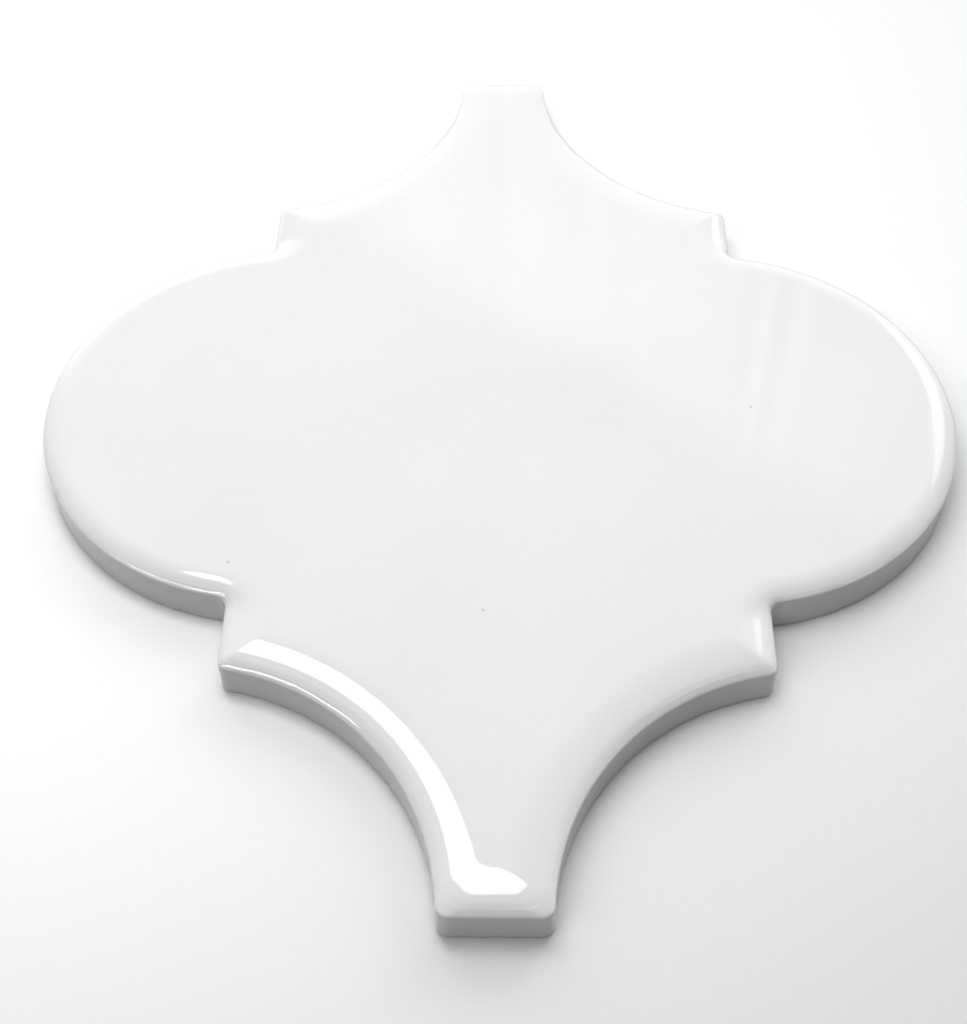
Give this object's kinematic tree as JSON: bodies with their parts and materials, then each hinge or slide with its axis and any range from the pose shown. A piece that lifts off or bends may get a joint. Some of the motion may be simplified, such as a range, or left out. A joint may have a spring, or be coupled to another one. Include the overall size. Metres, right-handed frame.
{
  "type": "arabesque wall tile",
  "caption": "White glazed ceramic lantern tile with round side lobes, stepped shoulders, coved necks and a cushioned face, bonded flat to a wall.",
  "frame": {"origin": "middle of the flat back, which lies on z = 0", "axes": "+Z out of the glazed face, +Y along the long axis from neck to neck, +X along the lobes"},
  "size_m": [0.168, 0.2, 0.009],
  "materials": {
    "glazed_ceramic": "gloss white glaze"
  },
  "bodies": {
    "root": {"arabesque_tile": "glazed_ceramic"}
  },
  "joints": []
}
